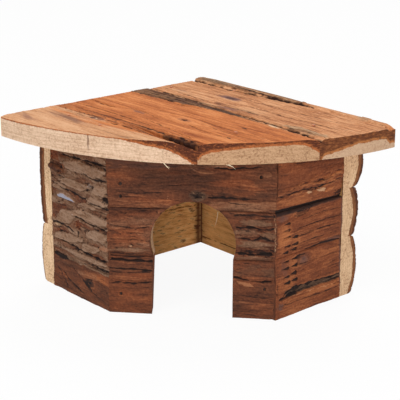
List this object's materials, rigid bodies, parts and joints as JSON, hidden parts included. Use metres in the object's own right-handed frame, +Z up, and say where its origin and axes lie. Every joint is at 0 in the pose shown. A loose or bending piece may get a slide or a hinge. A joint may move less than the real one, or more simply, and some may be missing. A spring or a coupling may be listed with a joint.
{
  "type": "corner hide house for small pets",
  "caption": "Corner hide house for small pets: bark-covered wooden slab walls with an arched doorway, an open floor and a flat quarter-round roof.",
  "frame": {"origin": "middle of the whole object's box at the floor; the roof's right-angled back corner lies behind it", "axes": "+Z up, +Y towards the roof's back corner, so that -Y faces the doorway's side; +X to the right as seen from the doorway"},
  "size_m": [0.2818, 0.1992, 0.1349],
  "materials": {
    "roof_bark": "peeled orange-brown inner bark",
    "wall_bark": "rough flaking bark",
    "sawn_wood": "rough sawn, unfinished",
    "brad_steel": "dull"
  },
  "bodies": {
    "root": {"roof_board_left": "roof_bark", "roof_board_middle": "roof_bark", "roof_board_right": "roof_bark", "back_left_lower": "wall_bark", "back_left_upper": "wall_bark", "back_right_bottom": "wall_bark", "back_right_middle": "wall_bark", "back_right_top": "wall_bark", "left_side_bottom": "wall_bark", "left_side_middle": "wall_bark", "left_side_top": "wall_bark", "right_side_bottom": "wall_bark", "right_side_middle": "wall_bark", "right_side_top": "wall_bark", "front_bottom_left": "wall_bark", "front_bottom_right": "wall_bark", "front_middle_left": "wall_bark", "front_middle_right": "wall_bark", "front_top": "wall_bark", "left_corner_brads": "brad_steel", "back_corner_brads": "brad_steel", "right_corner_brads": "brad_steel", "front_left_brads": "brad_steel", "front_right_brads": "brad_steel", "roof_brads": "brad_steel"}
  },
  "joints": []
}
